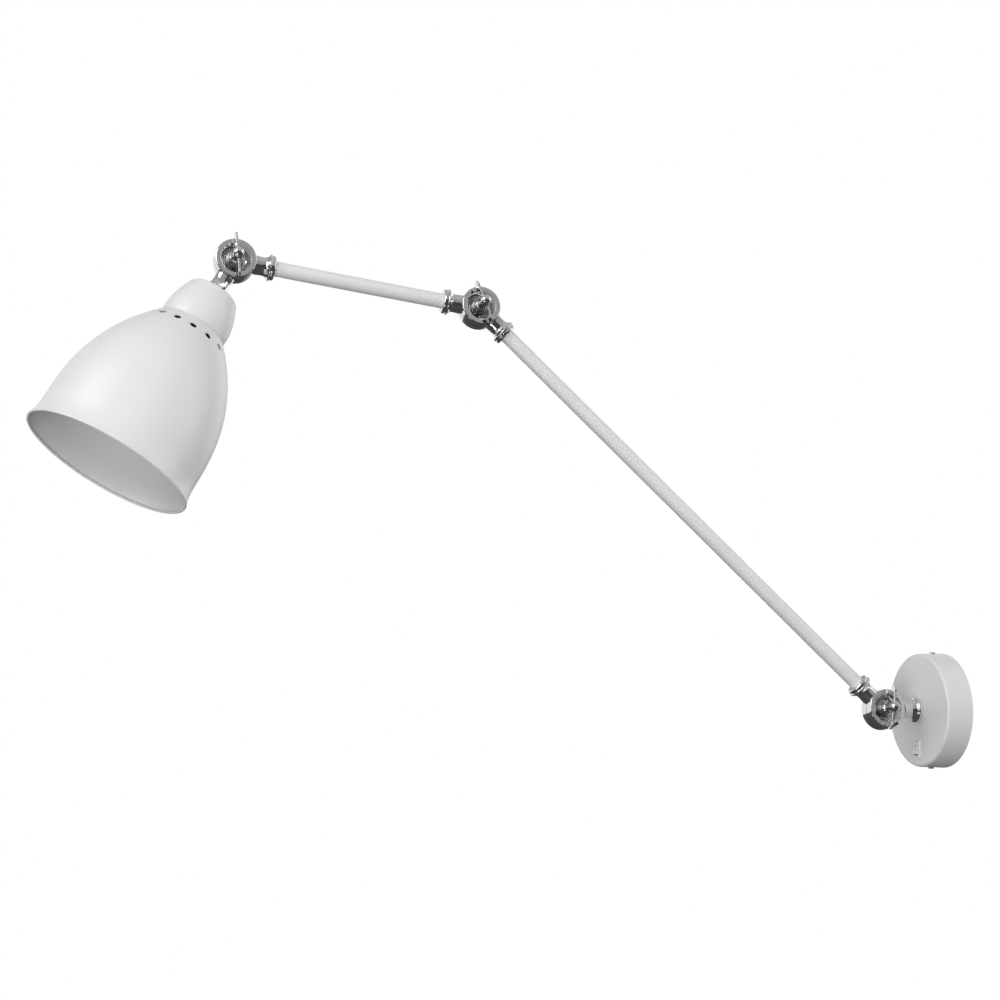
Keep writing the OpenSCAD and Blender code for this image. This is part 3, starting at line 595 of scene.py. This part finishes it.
def spun_sheet(tree, given, radius_at):
    """The top plate and the wall, from a grid whose columns go round and rows go down."""
    sides = tree.math("ADD", given["Sides"], 1.0)
    grid = tree.add("GeometryNodeMeshGrid", {"Size X": 1.0, "Size Y": 1.0, "Vertices X": sides,
                                             "Vertices Y": given["Rows"]})
    x, y, _ = tree.split(tree.add("GeometryNodeInputPosition").outputs[0])
    turn = tree.math("MULTIPLY", tree.math("ADD", x, 0.5), FULL_TURN)
    row = tree.math("ADD", y, 0.5)
    down = tree.math("MAXIMUM", tree.math("DIVIDE", tree.math("SUBTRACT", row, PLATE_SHARE),
                                          1.0 - PLATE_SHARE), 0.0)
    inwards = tree.math("MAXIMUM", tree.math(
        "SUBTRACT", 1.0, tree.math("DIVIDE", row, PLATE_SHARE)), 0.0)
    height = tree.math("MULTIPLY", given["Length"], tree.math("POWER", down, ROW_CROWDING))
    plate = tree.math("MULTIPLY", tree.math("SUBTRACT", given["Neck"], given["Hole"]), inwards)
    radius = tree.math("SUBTRACT", radius_at(height), plate)
    spun = tree.add("GeometryNodeSetPosition", {
        "Geometry": grid.outputs[0], "Position": tree.around(radius, turn, height)})
    sheet = welded(tree, spun.outputs[0])
    inner = tree.add("GeometryNodeExtrudeMesh", {"Mesh": sheet, "Offset Scale": given["Sheet"],
                                                 "Individual": False})
    flipped = tree.add("GeometryNodeFlipFaces", {0: sheet})
    return welded(tree, joined(tree, inner.outputs[0], flipped.outputs[0]))


def vent_punches(tree, given, radius_at):
    """Round punches in a ring, each set square to the wall."""
    step = 0.1
    drop = given["Vent Drop"]
    radius = radius_at(drop)
    rise = tree.math("SUBTRACT", radius_at(tree.math("ADD", drop, step)), radius)
    slope = tree.math("ARCTANGENT", tree.math("DIVIDE", rise, step))
    punch = tree.add("GeometryNodeMeshCylinder", {
        "Vertices": PUNCH_SIDES, "Radius": given["Vent Radius"], "Depth": PUNCH_DEPTH})
    points = tree.add("GeometryNodeMeshLine", {"Count": given["Vents"]})
    number = tree.math("ADD", tree.add("GeometryNodeInputIndex").outputs[0], given["First Vent"])
    turn = tree.math("MULTIPLY", tree.math("DIVIDE", number, given["Vents"]), FULL_TURN)
    ring = tree.add("GeometryNodeSetPosition", {
        "Geometry": points.outputs[0], "Position": tree.around(radius, turn, drop)})
    lean = tree.join(0.0, tree.math("ADD", slope, FULL_TURN / 4), turn)
    punches = tree.add("GeometryNodeInstanceOnPoints", {
        "Points": ring.outputs[0], "Instance": punch.outputs[0], "Rotation": lean})
    return tree.add("GeometryNodeRealizeInstances", {0: punches.outputs[0]}).outputs[0]


def rolled_bead(tree, given, radius_at):
    """A round bead along the bell's mouth."""
    rail = tree.add("GeometryNodeCurvePrimitiveCircle", {"Resolution": given["Sides"],
                                                         "Radius": radius_at(given["Length"])})
    section = tree.add("GeometryNodeCurvePrimitiveCircle", {"Resolution": BEAD_SIDES,
                                                            "Radius": given["Bead"]})
    bead = tree.add("GeometryNodeCurveToMesh", {"Curve": rail.outputs[0],
                                                "Profile Curve": section.outputs[0]})
    return raised(tree, bead.outputs[0], given["Length"])


def make_bell_tree(rule):
    """A spun bell: a top plate, the curved wall, a rolled lip and a ring of vent holes."""
    tree, given, out = new_group(
        "GeometryNodeTree", "spun bell",
        [(name, "length", 1.0) for name in BELL_RULE]
        + [("Start", "length", 72.0), ("Hole", "length", 19.8), ("Sheet", "length", 0.9),
           ("Bead", "length", 1.1), ("Vents", "count", 16), ("Vent Drop", "length", 9.9),
           ("Vent Radius", "length", 2.7), ("First Vent", "length", 0.0),
           ("Sides", "count", 192), ("Rows", "count", 96), ("Surface", "surface", None)],
        [("Bell", "mesh", None)])

    def radius_at(height):
        feeds = {"Height": height, **{name: given[name] for name in BELL_RULE}}
        return tree.add("GeometryNodeGroup", feeds, node_tree=rule).outputs[0]

    punched = tree.add("GeometryNodeMeshBoolean", operation="DIFFERENCE", solver="MANIFOLD")
    tree.put(punched.inputs["Mesh 1"], spun_sheet(tree, given, radius_at))
    tree.put(punched.inputs["Mesh 2"], vent_punches(tree, given, radius_at))
    bell = joined(tree, punched.outputs[0], rolled_bead(tree, given, radius_at))
    finish_tree(tree, raised(tree, bell, given["Start"]), given["Surface"], out["Bell"])
    return tree.tree


COIL, THREAD, GRIP = make_coil_tree(), make_thread_tree(), make_grip_tree()
BELL = make_bell_tree(make_bell_radius())

# ---------------------------------------------------------------- shade
# Heights on the head run from its hinge towards the shade's mouth.
CAP_START, CAP_END = 34.0, 71.5
CAP_SHOULDER, CAP_WIDE = CAP_START + 4, CAP_END - 7
CAP_FLAT_R, CAP_SHOULDER_R, CAP_R = 16.5, 22.0, 28.7
CAP_TURN_IN = 0.5    # how much narrower the cap is at its open end
BELL_START = 72.0
SHEET = 0.9
NIPPLE_R = 5.0
ROD_GAP = 0.05
BELL_SIZES = {"Length": 132.2, "Neck": 28.0, "Widest": 67.3, "Belly": 107.97, "Fullness": 2.42,
              "Lip Start": 114.64, "Lip Flare": 2.7, "Start": BELL_START, "Hole": 19.8,
              "Sheet": SHEET, "Bead": 1.1, "Vents": 16, "Vent Drop": 9.9, "Vent Radius": 3.0,
              "First Vent": -0.13}


def make_bell():
    grown_piece("spun_bell", "shade_bell", BELL, BELL_SIZES, ON_HEAD, 40)


def cap_radius(height):
    if height < CAP_WIDE:
        above = (CAP_WIDE - height) / (CAP_WIDE - CAP_SHOULDER)
        return CAP_R - (CAP_R - CAP_SHOULDER_R) * above ** 2
    return CAP_R - CAP_TURN_IN * ((height - CAP_WIDE) / (CAP_END - CAP_WIDE)) ** 2


def cap_line(inset):
    """The cap's outline from its rod hole, over the shoulder, to its open end."""
    top, bend_steps, wall_steps = CAP_START + inset, 12, 28
    bends = [math.pi / 2 * i / bend_steps for i in range(bend_steps)]
    shoulder = [(CAP_FLAT_R + (CAP_SHOULDER_R - inset - CAP_FLAT_R) * math.sin(bend),
                 top + (CAP_SHOULDER - top) * (1 - math.cos(bend))) for bend in bends]
    wall = [(cap_radius(z) - inset, z) for z in
            (CAP_SHOULDER + (CAP_END - CAP_SHOULDER) * i / wall_steps
             for i in range(wall_steps + 1))]
    return [(NIPPLE_R + ROD_GAP, top)] + shoulder + wall


def make_cap():
    outside, inside = cap_line(0), cap_line(SHEET)
    # The open end is rolled over half round.
    rim = arc((outside[-1][0] - SHEET / 2, CAP_END - SHEET / 2), SHEET / 2, 0, 180, 6)
    outline = outside[:-1] + rim + list(reversed(inside[:-1]))
    piece("spun_cap", turned("spun cap", outline, ON_HEAD, 160, 38), "shade_cap")


# ---------------------------------------------------------------- knuckles and their hardware
# Heights here run along a knuckle's bolt from the middle of its hinge.
FACE_X, FLOOR_X = 8.2, 4.2
SPRING_SIZES = {"Wide Radius": 7.3, "Narrow Radius": 6.1, "Wire Radius": 0.6, "Turns": 2.0,
                "From": FLOOR_X + 0.2, "To": FACE_X + 0.1}
BOLT_R = 2.5
SEAT_GAP = 0.2    # keeps the cast nut clear of its washer
HUB_START, HUB_R, FOOT_R = 9.1, 4.8, 5.7
DOME_X, DOME_R = 20.2, 4.6
WING_REACH, WING_T, WING_TIP_R = 19.5, 1.8, 3.6
CAST_VOXEL = 0.2
# Where each knuckle is, and how far its wing nut is turned.
HARDWARE = {"lower": (HINGES["lower_hinge"], -11),
            "elbow": (HINGES["elbow_hinge"], 20),
            "head": (HINGES["head_hinge"], 5)}


def make_spring(which):
    at, _ = HARDWARE[which]
    grown_piece(which + "_coil_spring", which + "_spring", COIL, SPRING_SIZES,
                placed(at, HINGE_WAY, UP), 40)


def wing_line():
    """One wing seen from the side: (distance from the bolt's axis, distance along it)."""
    tip, foot = WING_REACH - WING_TIP_R, HUB_START + 0.8
    return ([(HUB_R - 1, foot), (HUB_R + 2, foot), (tip - 3, FACE_X + 3)]
            + arc((tip, FACE_X + 7), WING_TIP_R, -50, 95, 14)
            + [(tip - 3, FACE_X + 10.4), (HUB_R - 1, DOME_X - 1)])


def add_wing(bm, side):
    """A flat wing on one side of the hub."""
    near, far = [[bm.verts.new((side * x, y, z)) for x, z in wing_line()]
                 for y in (-WING_T / 2, WING_T / 2)]
    bm.faces.new(near)
    bm.faces.new(reversed(far))
    for i in range(len(near)):
        j = (i + 1) % len(near)
        bm.faces.new((near[i], far[i], far[j], near[j]))


def make_wing_nut(which):
    """A cast nut: a hub, a domed end and two wings, fused and smoothed like a casting."""
    at, lean = HARDWARE[which]
    seat, bore = HUB_START + SEAT_GAP, BOLT_R + ROD_GAP
    bm = lathe_bm([(bore, seat), (FOOT_R, seat), (FOOT_R, HUB_START + 1.2),
                   (HUB_R, HUB_START + 2.4), (HUB_R - 0.5, DOME_X), (0, DOME_X),
                   (0, DOME_X - 1), (bore, DOME_X - 1)], 64)
    bmesh.ops.create_icosphere(bm, subdivisions=5, radius=DOME_R,
                               matrix=Matrix.Translation((0, 0, DOME_X)))
    for side in (1, -1):
        add_wing(bm, side)
    mesh = worked(mesh_from(bm, "wing nut", Matrix.Identity(4)),
                  ("REMESH", {"mode": "VOXEL", "voxel_size": CAST_VOXEL,
                              "use_smooth_shade": True}),
                  ("SMOOTH", {"factor": 0.5, "iterations": 7}))
    mesh.transform(placed(at, HINGE_WAY, -UP) @ Matrix.Rotation(math.radians(lean), 4, "Z"))
    shade(mesh, 60)
    piece(which + "_cast_wing_nut", mesh, which + "_wing_nut")


# ---------------------------------------------------------------- hollow rods and lampholder
ROD_BORE_R = NIPPLE_R - 1.6
ROD_CHAMFER = 0.3
HOLDER_START, HOLDER_TOP = 41.5, 56.5
DOME_FROM, DOME_BEND = HOLDER_START + 8, 8
FLANGE_AT, SKIRT_END = 69.4, 90.0
SKIRT_R, SHELL_R, SHELL_LOW, SHELL_HIGH = 19.5, 13.2, 71.0, 89.0
WELL_FLOOR, CONTACT_HOLE_R = 68.0, 3
LAMP_PITCH = 3.63
RING_LOW, RING_HIGH = BELL_START + SHEET + 0.02, BELL_START + 6


def make_hollow_rods():
    # (place, start, end) of each rod along its own axis.
    rods = {"base": (placed(HINGES["lower_hinge"], -OUT_OF_WALL), 26.2, 49.0),
            "head": (ON_HEAD, 27.0, 46.5)}
    crest = NIPPLE_R - ROD_CHAMFER
    for which, (place, low, high) in rods.items():
        outline = [(ROD_BORE_R, low), (crest, low)]
        outline += straight(NIPPLE_R, low + ROD_CHAMFER, high - ROD_CHAMFER, 8)
        outline += [(crest, high), (ROD_BORE_R, high)]
        threaded(which + "_hollow_rod", which + "_nipple", outline, 64, place,
                 Pitch=1.0, Depth=0.5, From=low, To=high, Outside=ROD_BORE_R + 0.5)


def make_holder_skirt():
    """The outer skirt with its flange, threaded for the shade ring, and the lamp's well."""
    outline = [(CONTACT_HOLE_R, HOLDER_TOP)]
    outline += arc((SKIRT_R - 0.8, HOLDER_TOP + 0.8), 0.8, -90, 0, 5)
    outline += [(SKIRT_R, FLANGE_AT - 0.6)]
    outline += arc((SKIRT_R + 2.4, FLANGE_AT + 0.6), 0.6, -90, 0, 4)
    outline += [(SKIRT_R + 3, BELL_START), (SKIRT_R, BELL_START)]
    outline += straight(SKIRT_R, BELL_START + 0.2, SKIRT_END - 1, 3)
    outline += arc((SKIRT_R - 1, SKIRT_END - 1), 1, 0, 90, 5)[1:]
    outline += arc((SHELL_R + 1.3, SKIRT_END - 0.6), 0.6, 90, 180, 4)
    outline += [(SHELL_R + 0.7, WELL_FLOOR), (CONTACT_HOLE_R, WELL_FLOOR)]
    threaded("holder_skirt", "holder_body", outline, 144, ON_HEAD, Pitch=3.0, Depth=0.9,
             From=BELL_START + 0.3, To=SKIRT_END - 0.5, Outside=SKIRT_R - 0.5)


def make_screw_shell():
    """The thin brass shell that the lamp screws into."""
    outline = list(reversed(straight(SHELL_R + 0.05, SHELL_LOW, SHELL_HIGH, 4)))
    outline += straight(SHELL_R + 0.6, SHELL_LOW, SHELL_HIGH, 4)
    threaded("screw_shell", "socket_shell", outline, 128, ON_HEAD, Pitch=LAMP_PITCH, Depth=0.6,
             From=SHELL_LOW, To=SHELL_HIGH, Outside=0.0)


def make_holder_dome():
    """The holder's hollow end, round the rod."""
    middle, bore = (11, DOME_FROM), NIPPLE_R + ROD_GAP
    outline = [(bore, HOLDER_START)] + arc(middle, DOME_BEND, -90, 0, 20)
    outline += straight(19, HOLDER_START + 9, HOLDER_TOP - 0.4, 1)
    outline += [(18.6, HOLDER_TOP), (17, HOLDER_TOP)]
    outline += arc(middle, DOME_BEND - 2, 0, -90, 16) + [(bore, HOLDER_START + 2)]
    piece("holder_dome", turned("holder dome", outline, ON_HEAD, 128, 35), "holder_cap")


def make_shade_ring():
    """The ring that clamps the shade against the holder's flange."""
    bore = SKIRT_R + ROD_GAP
    outline = [(bore, RING_LOW), (SKIRT_R + 3.7, RING_LOW)]
    outline += straight(SKIRT_R + 4, RING_LOW + 0.3, RING_HIGH - 0.6, 1)
    outline += [(SKIRT_R + 3.4, RING_HIGH), (bore, RING_HIGH)]
    blank = turned("shade ring", outline, Matrix.Identity(4), 288)
    grown_piece("fluted_shade_ring", "shade_ring", GRIP,
                {"Flutes": 36, "Depth": 0.7, "Outside": SKIRT_R + 3}, ON_HEAD, 40, blank)


# ---------------------------------------------------------------- switch
ROCKER_AXIS = next(Vector(j["axis"]) for j in frame["joints"] if j["name"] == "rocker_tilt")
ROCKER_TILT = 8
ON_ROCKER = (placed(HINGES["rocker_tilt"], OUT_OF_WALL, ROCKER_AXIS)
             @ Matrix.Rotation(math.radians(-ROCKER_TILT), 4, "X"))
ROCKER_FACE = 3.72
INK_T = 0.05
MARK_INNER, MARK_OUTER, MARK_STRETCH, MARK_AT = 0.72, 1.15, 1.2, 2.3
BAR_WIDTH, BAR_LENGTH, BAR_AT = 0.5, 2.6, -1.5


def make_switch_marks():
    """A ring above and a bar below, printed on the rocker's face."""
    off = lathe_bm([(MARK_INNER, 0), (MARK_OUTER, 0),
                    (MARK_OUTER, INK_T), (MARK_INNER, INK_T)], 48)
    for vertex in off.verts:
        vertex.co.y = vertex.co.y * MARK_STRETCH + MARK_AT
        vertex.co.z += ROCKER_FACE + 0.09
    on = bmesh.new()
    bmesh.ops.create_cube(on, size=1, matrix=Matrix.Translation((0, BAR_AT, ROCKER_FACE + INK_T))
                          @ Matrix.Diagonal((BAR_WIDTH, BAR_LENGTH, INK_T * 2, 1)))
    bmesh.ops.bevel(on, geom=on.edges[:], offset=0.03, segments=2, affect="EDGES")
    for name, bm in (("off_mark", off), ("on_mark", on)):
        mark = bpy.data.objects.new(name, mesh_from(bm, name, ON_ROCKER))
        SCENE.collection.objects.link(mark)
        mark.data.materials.append(MARK_INK.material)
        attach(mark, "rocker")


# ---------------------------------------------------------------- CAD shapes with softened edges
HARD_EDGE = 30
# How far each node's hard edges are rounded off.
EDGES = {"canopy": 0.3, "wall_bracket": 0.3, "canopy_screws": 0.12, "earth_screw": 0.15,
         "terminal_block": 0.35, "terminal_screws": 0.1, "switch_housing": 0.35,
         "switch_rocker": 0.25, "switch_blades": 0.1, "stop_peg": 0.2, "stop_ring": 0.15,
         "base_nut": 0.3, "cap_nut": 0.3, "foot_washer": 0.1, "centre_contact": 0.12,
         "base_knuckle": 0.2, "long_arm_lower_knuckle": 0.2, "long_arm_upper_knuckle": 0.2,
         "short_arm_inner_knuckle": 0.2, "short_arm_outer_knuckle": 0.2, "head_knuckle": 0.2,
         "long_tube": 0.15, "short_tube": 0.15}
EDGES.update({which + part: edge for which in HARDWARE
              for part, edge in (("_pivot_bolt", 0.2), ("_spring_washer", 0.12),
                                 ("_friction_ring", 0.06))})
LEADS = ("canopy_leads", "base_lead", "long_arm_lead", "short_arm_lead", "head_lead")


def node_bm(node):
    """A copy of a CAD node's shape, with its doubled corners joined."""
    bm = bmesh.new()
    bm.from_mesh(frame["nodes"][node].data)
    bmesh.ops.remove_doubles(bm, verts=bm.verts, dist=1e-6)
    return bm


def refined(node, edge):
    """A CAD node's own shape with its hard edges slightly rounded off."""
    bm = node_bm(node)
    bmesh.ops.dissolve_limit(bm, angle_limit=math.radians(0.6), verts=bm.verts, edges=bm.edges)
    mesh = mesh_of(bm, node)
    shade(mesh, HARD_EDGE)
    return worked(mesh, ("BEVEL", {"width": edge * MM, "segments": 2, "limit_method": "ANGLE",
                                   "angle_limit": math.radians(HARD_EDGE),
                                   "harden_normals": True, "use_clamp_overlap": True,
                                   "miter_outer": "MITER_ARC"}))


def softened(node):
    """A lead's many-sided tube made round."""
    bm = node_bm(node)
    bmesh.ops.join_triangles(bm, faces=bm.faces, angle_face_threshold=0.7,
                             angle_shape_threshold=0.7)
    mesh = worked(mesh_of(bm, node), ("SUBSURF", {"levels": 2, "render_levels": 2}))
    shade(mesh, 60)
    return mesh


def make_finished_nodes():
    for node, edge in EDGES.items():
        piece(node + "_edged", refined(node, edge), node)
    for node in LEADS:
        piece(node + "_round", softened(node), node)


# ---------------------------------------------------------------- light and stage
# What polished metal reflects: (towards, width, height, brightness).
CARDS = [((0.35, -0.90, 0.30), 1.0, 0.8, 1.9),
         ((0.10, 0.15, 1.00), 1.3, 1.3, 0.5),
         ((0.30, 0.95, 0.10), 0.5, 1.1, 1.5),
         ((-0.80, -0.30, 0.10), 0.7, 1.6, 0.9),
         ((-0.60, 0.75, 0.25), 0.6, 1.0, 1.3),
         ((0.92, -0.30, -0.25), 0.9, 0.8, 0.02),
         ((0.75, 0.60, -0.15), 0.3, 0.5, 0.02)]
CARD_BLUR = 0.04
# (name, place, towards, width and height, watts, seen in reflections)
LIGHTS = [("key", (0.9, -1.9, 1.2), (0, -0.6, 0.2), (1.0, 1.0), 9.5, True),
          ("fill", (2.2, -0.3, 0.9), (0, -0.6, 0.3), (1.2, 1.2), 8.5, False),
          ("back fill", (0.5, 2.0, 0.0), (0, -0.6, 0.2), (1.2, 1.2), 14, False),
          ("low fill", (1.7, -1.4, -0.75), (0, -0.5, 0.1), (1.4, 1.0), 21, False),
          ("rear fill", (-1.7, 1.1, 0.8), (0, -0.4, 0.1), (1.2, 1.2), 16, False),
          ("low card", (0.5, -1.3, -0.6), (0, -0.4, 0.1), (0.5, 0.25), 1.2, True)]
FLOOR_DROP, FLOOR_HALF = 1.2, 12.0
FLOOR_DARK = (0.05, 0.05, 0.05, 1)
FLOOR_GLOW = 0.32


def card(tree, way, towards, width, height):
    """A mask over the sky: 1 inside an upright rectangle seen in that direction."""
    facing = Vector(towards).normalized()
    side = facing.cross(UP).normalized()
    ahead = tree.math("MAXIMUM", tree.vector_math("DOT_PRODUCT", way, facing), 0.001)
    masks = []
    for axis, half in ((side, width / 2), (side.cross(facing), height / 2)):
        off = tree.math("ABSOLUTE", tree.vector_math("DOT_PRODUCT", way, axis))
        masks.append(tree.ramp(tree.math("DIVIDE", off, ahead),
                               (half + CARD_BLUR, half - CARD_BLUR)))
    return tree.math("MULTIPLY", *masks)


def make_world():
    world = bpy.data.worlds.new("studio")
    world.use_nodes = True
    SCENE.world = world
    tree = Tree(world.node_tree)
    world.node_tree.nodes.clear()
    way = tree.add("ShaderNodeTexCoord").outputs["Generated"]
    height = tree.split(way)[2]
    # Walls and ceiling of a white tent: darker below, bright above.
    soft = tree.ramp(height, (-0.9, 0.9), (0.20, 0.58))
    # Polished metal sees a grey room, dark below the middle, with its cards.
    seen = tree.ramp(height, (-0.25, 0.15), (0.03, 0.36))
    for towards, wide, high, bright in CARDS:
        seen = tree.ramp(card(tree, way, towards, wide, high), (0.0, 1.0), (seen, bright))
    path = tree.add("ShaderNodeLightPath").outputs
    lit = tree.ramp(path["Is Glossy Ray"], (0.0, 1.0), (soft, seen))
    shown = tree.ramp(path["Is Camera Ray"], (0.0, 1.0), (lit, 1.0))
    sky = tree.add("ShaderNodeBackground", {"Color": (1, 1, 1, 1), "Strength": shown})
    tree.add("ShaderNodeOutputWorld", {"Surface": sky.outputs[0]})


def make_light(name, at, towards, size, power, in_reflections):
    data = bpy.data.lights.new(name, "AREA")
    data.shape, data.size, data.size_y = "RECTANGLE", size[0], size[1]
    data.energy = power
    light = bpy.data.objects.new(name, data)
    turn = (Vector(at) - Vector(towards)).to_track_quat("Z", "Y").to_matrix().to_4x4()
    light.matrix_world = Matrix.Translation(at) @ turn
    light.visible_camera, light.visible_glossy = False, in_reflections
    SCENE.collection.objects.link(light)


def floor_finish():
    """Pale to look at, but throws little light back up."""
    finish = Finish("pale studio floor", (0.86, 0.86, 0.86), (0.855, 0.855, 0.855), 400)
    finish.sheen(0.6, 0.7, 200)
    to_camera = finish.tree.add("ShaderNodeLightPath").outputs["Is Camera Ray"]
    finish.feed("Base Color", finish.tree.mix(to_camera, FLOOR_DARK, finish.colour))
    finish.feed("Emission Color", (1, 1, 1, 1))
    finish.feed("Emission Strength", finish.tree.math("MULTIPLY", to_camera, FLOOR_GLOW))
    return finish.material


def make_floor():
    bm = bmesh.new()
    bmesh.ops.create_grid(bm, x_segments=8, y_segments=8, size=FLOOR_HALF)
    mesh = mesh_from(bm, "floor", Matrix.Translation((0, 0, -FLOOR_DROP)))
    mesh.materials.append(floor_finish())
    floor = bpy.data.objects.new("floor", mesh)
    SCENE.collection.objects.link(floor)


# ---------------------------------------------------------------- all of it
make_camera()
make_bell()
make_cap()
for which in HARDWARE:
    make_spring(which)
    make_wing_nut(which)
make_hollow_rods()
make_holder_skirt()
make_screw_shell()
make_holder_dome()
make_shade_ring()
make_switch_marks()
make_finished_nodes()
make_world()
for light in LIGHTS:
    make_light(*light)
make_floor()
SCENE.view_settings.view_transform = "Standard"
